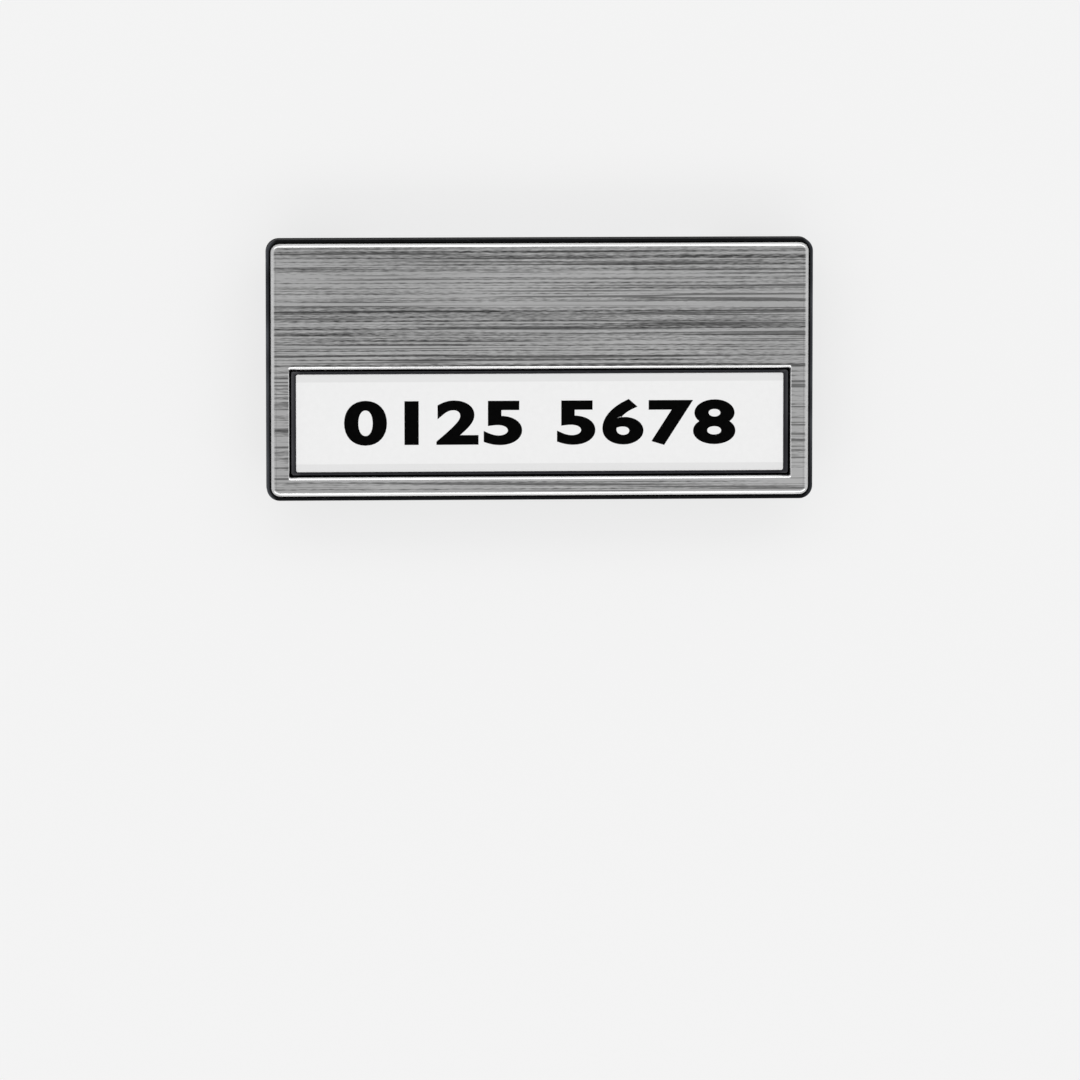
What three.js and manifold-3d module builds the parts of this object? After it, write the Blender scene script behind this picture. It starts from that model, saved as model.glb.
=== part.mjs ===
// A rectangular name badge with a magnet fastener, lying face up on its magnet bar.
// Millimetres. +X is to the right and +Y is up as the badge is read, and +Z points out of its face.
// The origin lies under the middle of the badge, on the surface that the magnet bar rests on.

import * as THREE from 'three';
import { mergeVertices } from 'three/addons/utils/BufferGeometryUtils.js';
import Module from 'manifold-3d';

// Case: a shallow moulded tray with a thin rim round the face plate
const caseWidth = 66;
const caseHeight = 31.6;
const caseCorner = 1.6;
const caseBackRound = 0.6;
const caseFloor = 2.15;
const rimWidth = 0.42;
const rimRound = 0.18;
const rimBelowPlateFront = 0.5;

// Face plate: brushed sheet with rounded edges and a long window in its lower half
const plateThickness = 1;
const plateEdgeRound = 0.38;
const windowHeight = 12.95;
const windowEndMargin = 2.3;
const windowLowerMargin = 2.42;
const windowCorner = 0.4;
const windowChamfer = 0.3;

// Name insert: a tray that fills the window, with a card sunk in it
const insertThickness = 1.25;
const insertBelowPlateFront = 0.45;
const insertEdgeRound = 0.12;
const endLip = 0.52;
const sideLip = 0.31;
const cardThickness = 0.3;
const cardBelowLip = 0.1;
const cardCorner = 0.25;

// Push tab: a pad on a short tongue, in an opening behind the insert
const openingWidth = 22.2;
const openingOffset = -3.55;
const openingCorner = 0.3;
const openingDraft = 0.45;
const insertLedge = 0.575;
const padSlotAtSides = 1.95;
const padSlotAtEnd = 2.25;
const padBelowBack = 0.1;
const padCorner = 1;
const padRound = 0.25;
const tabStroke = 0.7;
const tongueLength = 1.45;
const tongueThickness = 1;
const tongueInset = 0.35;

// Magnet bar: a pressed steel cup with a raised disc over each of its two magnets
const barLength = 45;
const barWidth = 13;
const barCorner = 1.9;
const barDepth = 2.3;
const barSheet = 0.6;
const barFaceRound = 0.4;
const barBelowTop = 0.82;
const barOffset = -0.38;
const barTurn = 0.95;
const discRaise = 0.3;
const discMargin = 1.4;
const discSlope = 0.7;
const discFromEnd = 6.95;
const magnetBelowBrim = 0.1;
const ribLength = 19;
const ribWidth = 1.5;
const ribSpacing = 4.4;
const ribRaise = 0.12;

// Keeper plate: the steel plate on the back of the case that the magnets pull on
const keeperThickness = 0.9;
const keeperRound = 0.15;
const keeperBelowTop = 0.85;
const keeperOffset = -0.3;
const keeperTurn = -0.6;

// Clearances between neighbours
const insertClearance = 0.2;
const plateClearance = 0.06;
const cardClearance = 0.05;
const seatGap = 0.05;
const magnetClearance = 0.1;
const clothGap = 0.1;
const keeperGap = 0.1;
const hingeGap = 0.1;

// How finely round edges and corners are stepped, and how far a cutting tool runs past its work
const roundSteps = 3;
const cornerSteps = 5;
const discSteps = 40;
const toolRun = 3;

// Levels above the resting surface, from the raised discs up to the front of the face plate
const barFace = discRaise;
const barBrim = barFace + barDepth;
const keeperBack = barBrim + clothGap;
const caseBack = keeperBack + keeperThickness + keeperGap;
const caseFloorTop = caseBack + caseFloor;
const insertBack = caseFloorTop + seatGap;
const insertFront = insertBack + insertThickness;
const cardFront = insertFront - cardBelowLip;
const plateFront = insertFront + insertBelowPlateFront;
const plateBack = plateFront - plateThickness;
const plateSeat = plateBack - seatGap;
const rimTop = plateFront - rimBelowPlateFront;
const padBack = caseBack + padBelowBack;
const padFront = insertBack - tabStroke;

// Widths and heights that follow from what each piece fits into
const recess = {
  width: caseWidth - 2 * rimWidth,
  height: caseHeight - 2 * rimWidth,
  corner: caseCorner - rimWidth,
};
const plate = {
  width: recess.width - 2 * plateClearance,
  height: recess.height - 2 * plateClearance,
  corner: recess.corner - plateClearance,
};
const plateWindow = {
  width: plate.width - 2 * windowEndMargin,
  height: windowHeight,
  corner: windowCorner,
};
const windowMiddle = windowLowerMargin + windowHeight / 2 - plate.height / 2;
const insert = {
  width: plateWindow.width - 2 * insertClearance,
  height: plateWindow.height - 2 * insertClearance,
  corner: windowCorner - insertClearance / 2,
};
const cardRecess = {
  width: insert.width - 2 * endLip,
  height: insert.height - 2 * sideLip,
  corner: cardCorner + cardClearance,
};
const card = {
  width: cardRecess.width - 2 * cardClearance,
  height: cardRecess.height - 2 * cardClearance,
  corner: cardCorner,
};
const openingAtInsert = {
  width: openingWidth - 2 * openingDraft,
  height: insert.height - 2 * insertLedge,
  corner: openingCorner,
};
const openingRight = openingOffset + openingWidth / 2;
const pad = {
  width: openingWidth - tongueLength - padSlotAtEnd,
  height: openingAtInsert.height + 2 * openingDraft - 2 * padSlotAtSides,
  corner: padCorner,
};
const padRight = openingRight - tongueLength;
const disc = {
  baseRadius: barWidth / 2 - discMargin,
  flatRadius: barWidth / 2 - discMargin - discSlope,
  offset: barLength / 2 - discFromEnd,
};
const magnetRecessRadius = disc.baseRadius - barSheet;

const wasm = await Module();
wasm.setup();

// A closed solid from a geometry, for cutting and joining
function solidOf(geometry) {
  const bare = geometry.clone();
  bare.deleteAttribute('normal');
  bare.deleteAttribute('uv');
  const merged = mergeVertices(bare);
  const vertProperties = new Float32Array(merged.getAttribute('position').array);
  const triVerts = new Uint32Array(merged.getIndex().array);
  return new wasm.Manifold(new wasm.Mesh({ numProp: 3, vertProperties, triVerts }));
}

// A mesh with its name and look, from a solid
function namedMesh(name, solid, look) {
  const { vertProperties, triVerts } = solid.getMesh();
  const geometry = new THREE.BufferGeometry();
  geometry.setAttribute('position', new THREE.BufferAttribute(vertProperties, 3));
  geometry.setIndex(new THREE.BufferAttribute(triVerts, 1));
  const mesh = new THREE.Mesh(geometry, new THREE.MeshStandardMaterial(look));
  mesh.name = name;
  return mesh;
}

// A rectangle with round corners about the origin
function roundedOutline({ width, height, corner }) {
  const inX = width / 2 - corner;
  const inY = height / 2 - corner;
  const quarter = Math.PI / 2;
  const outline = new THREE.Shape();
  outline.moveTo(-inX, -inY - corner);
  outline.lineTo(inX, -inY - corner);
  outline.absarc(inX, -inY, corner, -quarter, 0);
  outline.lineTo(inX + corner, inY);
  outline.absarc(inX, inY, corner, 0, quarter);
  outline.lineTo(-inX, inY + corner);
  outline.absarc(-inX, inY, corner, quarter, 2 * quarter);
  outline.lineTo(-inX - corner, -inY);
  outline.absarc(-inX, -inY, corner, 2 * quarter, 3 * quarter);
  return outline;
}

// A plate between two levels whose upper and lower edges have the same rounding
function evenSlab(size, low, high, round) {
  const geometry = new THREE.ExtrudeGeometry(roundedOutline(size), {
    depth: high - low - 2 * round,
    curveSegments: cornerSteps,
    bevelEnabled: round > 0,
    bevelThickness: round,
    bevelSize: round,
    bevelOffset: -round,
    bevelSegments: roundSteps,
  });
  geometry.translate(0, 0, low + round);
  return solidOf(geometry);
}

// A plate between two levels whose lower and upper edges have roundings of their own
function slab(size, low, high, lowerRound = 0, upperRound = 0) {
  if (lowerRound === upperRound) return evenSlab(size, low, high, lowerRound);
  const roundBelow = evenSlab(size, low, high + toolRun, lowerRound);
  const roundAbove = evenSlab(size, low - toolRun, high, upperRound);
  return roundBelow.intersect(roundAbove);
}

// A cutting tool of one size at one level, which is wider by the flare at another level and past it
function flaredTool(size, narrowLevel, wideLevel, flare) {
  const geometry = new THREE.ExtrudeGeometry(roundedOutline(size), {
    depth: toolRun,
    curveSegments: cornerSteps,
    bevelEnabled: true,
    bevelThickness: Math.abs(wideLevel - narrowLevel),
    bevelSize: flare,
    bevelSegments: 1,
  });
  geometry.translate(0, 0, wideLevel > narrowLevel ? wideLevel : wideLevel - toolRun);
  return solidOf(geometry);
}

// A round disc or cone between two levels
function roundSolid(lowRadius, highRadius, low, high) {
  const geometry = new THREE.CylinderGeometry(highRadius, lowRadius, high - low, discSteps);
  geometry.rotateX(Math.PI / 2);
  geometry.translate(0, 0, (low + high) / 2);
  return solidOf(geometry);
}

const looks = {
  blackPlastic: { color: 0x101113, roughness: 0.3, metalness: 0 },
  brushedMetal: { color: 0x9a9a9a, roughness: 0.35, metalness: 1 },
  darkPlastic: { color: 0x17181c, roughness: 0.2, metalness: 0 },
  card: { color: 0xf2f2f0, roughness: 0.5, metalness: 0 },
  zincSteel: { color: 0x8a9099, roughness: 0.35, metalness: 1 },
  keeperSteel: { color: 0xa4a8ad, roughness: 0.35, metalness: 1 },
  nickel: { color: 0xb8b6b0, roughness: 0.2, metalness: 1 },
};

// Case: recessed in front for the plate and the insert, and open behind the insert for the push tab
function backShell() {
  const outer = { width: caseWidth, height: caseHeight, corner: caseCorner };
  const body = slab(outer, caseBack, rimTop, caseBackRound, rimRound);
  const plateRecess = slab(recess, plateSeat, rimTop + toolRun);
  const pocket = slab(plateWindow, caseFloorTop, rimTop + toolRun);
  const opening = flaredTool(openingAtInsert, caseFloorTop, caseBack, openingDraft);
  const pocketFloorCut = slab(openingAtInsert, caseFloorTop - seatGap, rimTop);
  return body
    .subtract(plateRecess)
    .subtract(pocket.translate([0, windowMiddle, 0]))
    .subtract(opening.add(pocketFloorCut).translate([openingOffset, windowMiddle, 0]));
}

// Pad and tongue in one piece. The tongue ends just short of the opening's side, where it bends.
function pushTab() {
  const tongueBack = padFront - tongueThickness;
  const sideAtTongue = openingRight - (openingDraft * (padFront - caseBack)) / caseFloor;
  const tongueEnd = sideAtTongue - hingeGap;
  const tongueStart = padRight - padCorner;
  const tongueSize = {
    width: tongueEnd - tongueStart,
    height: pad.height - 2 * tongueInset,
    corner: tongueInset,
  };
  const padSolid = slab(pad, padBack, padFront, padRound, padRound);
  const tongue = slab(tongueSize, tongueBack, padFront);
  return padSolid
    .translate([padRight - pad.width / 2, windowMiddle, 0])
    .add(tongue.translate([(tongueStart + tongueEnd) / 2, windowMiddle, 0]));
}

function facePlate() {
  const sheet = slab(plate, plateBack, plateFront, 0, plateEdgeRound);
  const opening = slab(plateWindow, plateBack - toolRun, plateFront + toolRun);
  const chamferFoot = plateFront - windowChamfer;
  const chamfer = flaredTool(plateWindow, chamferFoot, plateFront, windowChamfer);
  return sheet.subtract(opening.add(chamfer).translate([0, windowMiddle, 0]));
}

function insertTray() {
  const tray = slab(insert, insertBack, insertFront, 0, insertEdgeRound);
  const sunk = slab(cardRecess, cardFront - cardThickness - seatGap, insertFront + toolRun);
  return tray.subtract(sunk).translate([0, windowMiddle, 0]);
}

function nameCard() {
  return slab(card, cardFront - cardThickness, cardFront).translate([0, windowMiddle, 0]);
}

// Magnet bar, about its own middle. Its open side faces the keeper plate.
function magnetCover() {
  const outer = { width: barLength, height: barWidth, corner: barCorner };
  const inner = {
    width: barLength - 2 * barSheet,
    height: barWidth - 2 * barSheet,
    corner: barCorner - barSheet,
  };
  const rib = { width: ribLength, height: ribWidth, corner: ribWidth / 2 - ribRaise };
  const rootLevel = barFace + barSheet / 2;
  const rootRadius = disc.baseRadius + (discSlope * (rootLevel - barFace)) / discRaise;
  let cover = slab(outer, barFace, barBrim, barFaceRound, 0);
  for (const side of [-1, 1]) {
    const raisedDisc = roundSolid(disc.flatRadius, rootRadius, 0, rootLevel);
    const pressedRib = slab(rib, barFace - ribRaise, rootLevel, ribRaise, 0);
    cover = cover
      .add(raisedDisc.translate([side * disc.offset, 0, 0]))
      .add(pressedRib.translate([0, (side * ribSpacing) / 2, 0]));
  }
  cover = cover.subtract(slab(inner, barFace + barSheet, barBrim + toolRun));
  for (const side of [-1, 1]) {
    const seat = roundSolid(magnetRecessRadius, magnetRecessRadius, barSheet, barBrim);
    cover = cover.subtract(seat.translate([side * disc.offset, 0, 0]));
  }
  return cover;
}

function magnet(side) {
  const radius = magnetRecessRadius - magnetClearance;
  const solid = roundSolid(radius, radius, barSheet + seatGap, barBrim - magnetBelowBrim);
  return solid.translate([side * disc.offset, 0, 0]);
}

function keeperPlate() {
  const outline = { width: barLength, height: barWidth, corner: barCorner };
  return slab(outline, keeperBack, keeperBack + keeperThickness, keeperRound, keeperRound);
}

// A group of meshes whose middle lies behind the upper half of the case, turned a little
function behindTheCase(offset, belowTop, turn, ...meshes) {
  const placed = new THREE.Group();
  placed.position.set(offset, caseHeight / 2 - belowTop - barWidth / 2, 0);
  placed.rotation.z = THREE.MathUtils.degToRad(turn);
  placed.add(...meshes);
  return placed;
}

const group = new THREE.Group();
group.add(
  namedMesh('back_shell', backShell(), looks.blackPlastic),
  namedMesh('push_tab', pushTab(), looks.blackPlastic),
  namedMesh('face_plate', facePlate(), looks.brushedMetal),
  namedMesh('insert_tray', insertTray(), looks.darkPlastic),
  namedMesh('name_card', nameCard(), looks.card),
  behindTheCase(
    keeperOffset,
    keeperBelowTop,
    keeperTurn,
    namedMesh('keeper_plate', keeperPlate(), looks.keeperSteel),
  ),
  behindTheCase(
    barOffset,
    barBelowTop,
    barTurn,
    namedMesh('magnet_cover', magnetCover(), looks.zincSteel),
    namedMesh('magnet_left', magnet(-1), looks.nickel),
    namedMesh('magnet_right', magnet(1), looks.nickel),
  ),
);

export default group;
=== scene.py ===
# %% [markdown]
# # A name badge on its magnet bar
# The badge is a black moulded case with a brushed metal plate set into its front. A window in the plate
# shows a dark insert that carries a white name card. Behind the case a steel keeper plate is pulled on by
# two magnets in a pressed steel bar, with the wearer's cloth in between.
# The frame holds every solid at its real size. Blender adds finer shapes and the finishes over it.

# %% Load the fixed frame
import math

import bmesh
import bpy
from mathutils import Matrix, Vector


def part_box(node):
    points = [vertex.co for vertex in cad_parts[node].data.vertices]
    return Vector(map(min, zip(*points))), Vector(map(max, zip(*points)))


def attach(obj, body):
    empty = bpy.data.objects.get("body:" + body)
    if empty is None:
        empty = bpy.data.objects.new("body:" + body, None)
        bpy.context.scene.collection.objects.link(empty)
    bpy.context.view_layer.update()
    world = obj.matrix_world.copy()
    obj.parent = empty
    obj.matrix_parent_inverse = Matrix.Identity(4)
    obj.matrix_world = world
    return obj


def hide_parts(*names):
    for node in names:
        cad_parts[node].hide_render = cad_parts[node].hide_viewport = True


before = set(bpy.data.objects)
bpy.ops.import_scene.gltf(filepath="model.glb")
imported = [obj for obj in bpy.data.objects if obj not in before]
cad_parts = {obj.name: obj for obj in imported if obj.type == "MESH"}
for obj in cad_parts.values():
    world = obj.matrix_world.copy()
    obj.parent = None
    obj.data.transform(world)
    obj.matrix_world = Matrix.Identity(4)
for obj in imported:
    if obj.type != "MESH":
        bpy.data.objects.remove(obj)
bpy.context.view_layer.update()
mm = 0.001

# %% [markdown]
# ## Measuring before making
# Each new piece has to fill the space of the solid that it stands for, so its corners are read from the
# frame. Only what a box can't tell, such as a corner radius or a wall, is stated as a number of its own.


# %% Corners of each solid
def corners_of(node):
    low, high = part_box(node)
    size = [round(side / mm, 2) for side in high - low]
    print(f"{node}: {size} mm from z {low.z / mm:.2f} to {high.z / mm:.2f}")
    return low, high


case_low, case_high = corners_of("back_shell")
plate_low, plate_high = corners_of("face_plate")
tray_low, tray_high = corners_of("insert_tray")
card_low, card_high = corners_of("name_card")
tab_low, tab_high = corners_of("push_tab")
keeper_low, keeper_high = corners_of("keeper_plate")
cover_low, cover_high = corners_of("magnet_cover")
magnet_low, magnet_high = corners_of("magnet_left")

# %% [markdown]
# ## A few moves that every piece uses
# Moulded and pressed parts all start as a block whose upright edges, and then whose level edges, are
# rounded. Blender's operators act on what is selected, so each move first selects by place or by normal.


# %% Start a block between two corners
def add_block(name, low, high):
    bpy.ops.object.select_all(action="DESELECT")
    middle = (Vector(low) + Vector(high)) / 2
    size = Vector(high) - Vector(low)
    bpy.ops.mesh.primitive_cube_add(size=1, location=middle, scale=size)
    block = bpy.context.active_object
    block.name = name
    bpy.ops.object.transform_apply(location=True, rotation=True, scale=True)
    return block


# %% Select edges or faces of a piece
def edit_only(piece, kind):
    bpy.ops.object.select_all(action="DESELECT")
    piece.select_set(True)
    bpy.context.view_layer.objects.active = piece
    bpy.ops.object.mode_set(mode="EDIT")
    bpy.ops.mesh.select_mode(type=kind)
    bpy.ops.mesh.select_all(action="DESELECT")
    mesh = bmesh.from_edit_mesh(piece.data)
    mesh.normal_update()
    return mesh


def select_edges(piece, wanted):
    mesh = edit_only(piece, "EDGE")
    chosen = [edge for edge in mesh.edges if wanted(edge)]
    for edge in chosen:
        edge.select_set(True)
    bmesh.update_edit_mesh(piece.data)
    return len(chosen)


def select_faces(piece, wanted):
    mesh = edit_only(piece, "FACE")
    chosen = [face for face in mesh.faces if wanted(face)]
    for face in chosen:
        face.select_set(True)
    bmesh.update_edit_mesh(piece.data)
    return len(chosen)


def leave_edit():
    bpy.ops.object.mode_set(mode="OBJECT")


# %% Round the upright edges, and the sharp edges at one level
hair = 0.0005 * mm
sharp_from = math.radians(40)


def is_upright(edge):
    start, end = (corner.co for corner in edge.verts)
    return (start - end).xy.length < hair and abs(start.z - end.z) > hair


def is_sharp_at(edge, level):
    level_here = all(abs(corner.co.z - level) < hair for corner in edge.verts)
    return level_here and edge.calc_face_angle(0) > sharp_from


def round_upright(piece, radius, segments):
    count = select_edges(piece, is_upright)
    bpy.ops.mesh.bevel(offset=radius, segments=segments, affect="EDGES")
    leave_edit()
    print(f"{piece.name}: {count} upright edges rounded to {radius / mm:.2f} mm")


def round_level(piece, level, radius, segments):
    count = select_edges(piece, lambda edge: is_sharp_at(edge, level))
    bpy.ops.mesh.bevel(offset=radius, segments=segments, affect="EDGES")
    leave_edit()
    print(f"{piece.name}: {count} level edges rounded to {radius / mm:.2f} mm")


# %% Sink the top inside a rim, cut with a tool, and join
def is_top_at(face, level):
    return face.normal.z > 0.99 and abs(face.calc_center_median().z - level) < hair


def sink_top(piece, level, rim, depth):
    select_faces(piece, lambda face: is_top_at(face, level))
    bpy.ops.mesh.inset(thickness=rim, use_even_offset=True)
    bpy.ops.mesh.extrude_region_move(TRANSFORM_OT_translate={"value": (0, 0, -depth)})
    leave_edit()


def combine(piece, tool, operation):
    bpy.ops.object.select_all(action="DESELECT")
    piece.select_set(True)
    bpy.context.view_layer.objects.active = piece
    step = piece.modifiers.new(operation.lower(), "BOOLEAN")
    step.operation = operation
    step.solver = "EXACT"
    step.object = tool
    bpy.ops.object.modifier_apply(modifier=step.name)
    bpy.data.objects.remove(tool)
    print(f"{piece.name}: {len(piece.data.polygons)} faces")


# %% Finish a piece
smooth_up_to = math.radians(35)


def finish_piece(piece, body, material_slot, *nodes):
    bpy.ops.object.select_all(action="DESELECT")
    piece.select_set(True)
    bpy.context.view_layer.objects.active = piece
    bpy.ops.object.shade_smooth_by_angle(angle=smooth_up_to)
    shading = piece.modifiers.new("flat faces stay flat", "WEIGHTED_NORMAL")
    shading.keep_sharp = True
    bpy.ops.object.modifier_apply(modifier=shading.name)
    if nodes:
        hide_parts(*nodes)
    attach(piece, body)


# %% [markdown]
# ## The case
# On the real badge this is one ABS moulding, a shallow tray. Its rim is a thin bead that frames the plate,
# its back edge has a larger rounding, and behind the insert its floor is open so that a finger reaches the
# push tab. A block is rounded, its top is sunk inside the rim, and two tools cut the pocket and the opening.
# A tool always sticks out a little beyond what it cuts, so that no skin is left standing.

# %% Case block, rim and recess
rim_width = 0.42 * mm
rim_round = 0.19 * mm
case_corner = 1.6 * mm
case_back_round = 0.6 * mm
seat_gap = 0.05 * mm
overrun = 1 * mm
plate_seat = plate_low.z - seat_gap

case = add_block("case", case_low, case_high)
round_upright(case, case_corner, segments=14)
round_level(case, case_low.z, case_back_round, segments=7)
sink_top(case, case_high.z, rim_width, case_high.z - plate_seat)
round_level(case, case_high.z, rim_round, segments=5)

# %% Pocket for the insert
window_gap = 0.2 * mm
window_corner = 0.4 * mm
window_low = Vector((tray_low.x - window_gap, tray_low.y - window_gap, 0))
window_high = Vector((tray_high.x + window_gap, tray_high.y + window_gap, 0))
window_middle = (window_low + window_high) / 2
pocket_floor = tray_low.z - seat_gap

tool = add_block(
    "pocket tool",
    (window_low.x, window_low.y, pocket_floor),
    (window_high.x, window_high.y, case_high.z + overrun),
)
round_upright(tool, window_corner, segments=6)
combine(case, tool, "DIFFERENCE")

# %% [markdown]
# The opening for the push tab widens a little towards the back, because a mould only lets go of a wall
# that leans. The tool's lower face is made larger for that lean, and the mouth gets a small rounding.

# %% Opening behind the insert
opening_left = -14.2 * mm
opening_right = 7.1 * mm
opening_half_height = 5.7 * mm
opening_corner = 0.3 * mm
mouth_round = 0.12 * mm
wall_lean = 0.45 / 2.15
tool_reach = 0.4 * mm
into_pocket = 0.3 * mm

tool = add_block(
    "opening tool",
    (opening_left, window_middle.y - opening_half_height, case_low.z - tool_reach),
    (opening_right, window_middle.y + opening_half_height, pocket_floor),
)
round_upright(tool, opening_corner, segments=5)
select_faces(tool, lambda face: face.normal.z < -0.9)
growth = 2 * wall_lean * (pocket_floor - case_low.z + tool_reach)
opening_width = opening_right - opening_left
opening_middle = (opening_left + opening_right) / 2
bpy.ops.transform.resize(
    value=(1 + growth / opening_width, 1 + growth / (2 * opening_half_height), 1),
    center_override=(opening_middle, window_middle.y, case_low.z),
)
leave_edit()
select_faces(tool, lambda face: face.normal.z > 0.9)
bpy.ops.mesh.extrude_region_move(TRANSFORM_OT_translate={"value": (0, 0, into_pocket)})
leave_edit()
combine(case, tool, "DIFFERENCE")
round_level(case, case_low.z, mouth_round, segments=3)
finish_piece(case, "badge", "case_plastic", "back_shell")

# %% [markdown]
# ## The push tab
# A pad behind the insert hangs on a short tongue. Pushed from behind, the tongue bends and the pad lifts
# the insert out of the window. Pad and tongue are one moulding, so two blocks are joined into one.

# %% Pad and tongue
pad_right = 6.1 * mm
pad_corner = 1 * mm
pad_round = 0.25 * mm
tongue_inset = 0.35 * mm
tongue_thickness = 1 * mm
tongue_round = 0.12 * mm
tongue_back = tab_high.z - tongue_thickness

push_pad = add_block("push_pad", tab_low, (pad_right, tab_high.y, tab_high.z))
round_upright(push_pad, pad_corner, segments=10)
round_level(push_pad, tab_low.z, pad_round, segments=5)
round_level(push_pad, tab_high.z, pad_round, segments=5)

tongue = add_block(
    "tongue",
    (pad_right - pad_corner, tab_low.y + tongue_inset, tongue_back),
    (tab_high.x, tab_high.y - tongue_inset, tab_high.z),
)
round_level(tongue, tongue_back, tongue_round, segments=3)
combine(push_pad, tongue, "UNION")
finish_piece(push_pad, "tab", "case_plastic", "push_tab")

# %% [markdown]
# ## The face plate
# The real plate is sheet metal with softly rolled edges, and it shows bright lines along them. The sheet
# is a block with a rounded outline, and a tool cuts its window. The window's long edges are rolled as well,
# so the tool widens at its upper end, in small steps along a quarter circle, and leaves that form behind.

# %% Sheet
plate_corner = 1.12 * mm
plate_round = 0.6 * mm

plate = add_block("brushed_plate", plate_low, plate_high)
round_upright(plate, plate_corner, segments=12)
round_level(plate, plate_high.z, plate_round, segments=7)

# %% Window with rolled edges
roll_at_ends = 0.2 * mm
roll_along = 0.48 * mm
roll_steps = 8
cut_corner = 0.15 * mm

tool = add_block(
    "window tool",
    (window_low.x, window_low.y, plate_low.z - overrun),
    (window_high.x, window_high.y, plate_high.z - roll_along),
)
round_upright(tool, cut_corner, segments=4)
select_faces(tool, lambda face: face.normal.z > 0.9)
window_size = window_high - window_low
last_height = 0
last_size = window_size
for step in range(1, roll_steps + 1):
    turn = math.radians(90 * step / roll_steps)
    height = roll_along * math.sin(turn)
    size = window_size + 2 * (1 - math.cos(turn)) * Vector((roll_at_ends, roll_along, 0))
    bpy.ops.mesh.extrude_region_move(TRANSFORM_OT_translate={"value": (0, 0, height - last_height)})
    bpy.ops.transform.resize(
        value=(size.x / last_size.x, size.y / last_size.y, 1),
        center_override=(window_middle.x, window_middle.y, plate_high.z),
    )
    last_height = height
    last_size = size
bpy.ops.mesh.extrude_region_move(TRANSFORM_OT_translate={"value": (0, 0, overrun)})
leave_edit()
combine(plate, tool, "DIFFERENCE")
finish_piece(plate, "badge", "brushed_plate", "face_plate")

# %% [markdown]
# ## The name insert and its card
# The insert is a dark tray with a lip round a white card. The lip is broader at the two ends than along
# the sides, so an inset of one width won't do, and a tool cuts the seat of the card instead.

# %% Tray
side_lip = 0.31 * mm
end_lip = 0.52 * mm
tray_corner = 0.3 * mm
tray_round = 0.12 * mm
lip_round = 0.06 * mm
card_corner = 0.25 * mm
card_seat = card_low.z - seat_gap

tray = add_block("insert_frame", tray_low, tray_high)
round_upright(tray, tray_corner, segments=6)
round_level(tray, tray_high.z, tray_round, segments=4)
tool = add_block(
    "card seat tool",
    (tray_low.x + end_lip, tray_low.y + side_lip, card_seat),
    (tray_high.x - end_lip, tray_high.y - side_lip, tray_high.z + overrun),
)
round_upright(tool, card_corner, segments=5)
combine(tray, tool, "DIFFERENCE")
round_level(tray, tray_high.z, lip_round, segments=3)
finish_piece(tray, "insert", "insert_plastic", "insert_tray")

# %% Card
card_round = 0.04 * mm

card = add_block("card", card_low, card_high)
round_upright(card, card_corner, segments=5)
round_level(card, card_high.z, card_round, segments=2)
finish_piece(card, "insert", "card", "name_card")

# %% [markdown]
# The card is printed in large bold characters. Here they are plain numbers, set in Blender's own font,
# which is made bolder with an offset. Text becomes a mesh first and is put in its place afterwards.

# %% Printed numbers
print_height = 5.6 * mm
print_length = 47.3 * mm
ink_thickness = 0.012 * mm
boldness = 0.036
letter_spacing = 1.1

bpy.ops.object.select_all(action="DESELECT")
bpy.ops.object.text_add(location=(0, 0, 0))
numbers = bpy.context.active_object
numbers.name = "printed_numbers"
numbers.data.body = "0125 5678"
numbers.data.size = 1
numbers.data.offset = boldness
numbers.data.extrude = 0.01
numbers.data.resolution_u = 8
numbers.data.space_character = letter_spacing
bpy.ops.object.convert(target="MESH")
raw_low = Vector([min(corner.co[axis] for corner in numbers.data.vertices) for axis in range(3)])
raw_high = Vector([max(corner.co[axis] for corner in numbers.data.vertices) for axis in range(3)])
raw_size = raw_high - raw_low

# %% Size and place of the print
numbers.scale = (print_length / raw_size.x, print_height / raw_size.y, ink_thickness / raw_size.z)
bpy.ops.object.transform_apply(location=False, rotation=False, scale=True)
scaled_middle = Vector(
    (
        (raw_low.x + raw_high.x) / 2 * print_length / raw_size.x,
        (raw_low.y + raw_high.y) / 2 * print_height / raw_size.y,
        raw_low.z * ink_thickness / raw_size.z,
    )
)
numbers.location = Vector((0, window_middle.y, card_high.z)) - scaled_middle
bpy.ops.object.transform_apply(location=True, rotation=False, scale=False)
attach(numbers, "insert")
print("numbers:", len(numbers.data.polygons), "faces")

# %% [markdown]
# ## The keeper plate and the magnet bar
# Both are stock steel parts of 45 by 13 mm and lie nearly one over the other, each turned by a degree or
# less, as they are stuck on by hand. They are made square to the axes and turned once they are finished.

# %% Turn a finished shape about its own middle
bar_length = 45 * mm
bar_width = 13 * mm
bar_corner = 1.9 * mm


def centred_block(name, low_z, high_z):
    half = Vector((bar_length / 2, bar_width / 2, 0))
    return add_block(name, (-half.x, -half.y, low_z), (half.x, half.y, high_z))


def set_in_place(piece, middle, turn):
    bpy.ops.object.select_all(action="DESELECT")
    piece.select_set(True)
    bpy.context.view_layer.objects.active = piece
    piece.location = (middle.x, middle.y, 0)
    piece.rotation_euler.z = math.radians(turn)
    bpy.ops.object.transform_apply(location=True, rotation=True, scale=True)


# %% Keeper plate
keeper_turn = -0.6
keeper_round = 0.15 * mm
keeper_middle = (keeper_low + keeper_high) / 2

keeper = centred_block("keeper", keeper_low.z, keeper_high.z)
round_upright(keeper, bar_corner, segments=14)
round_level(keeper, keeper_low.z, keeper_round, segments=3)
round_level(keeper, keeper_high.z, keeper_round, segments=3)
set_in_place(keeper, keeper_middle, keeper_turn)
finish_piece(keeper, "badge", "keeper_steel", "keeper_plate")

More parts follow.
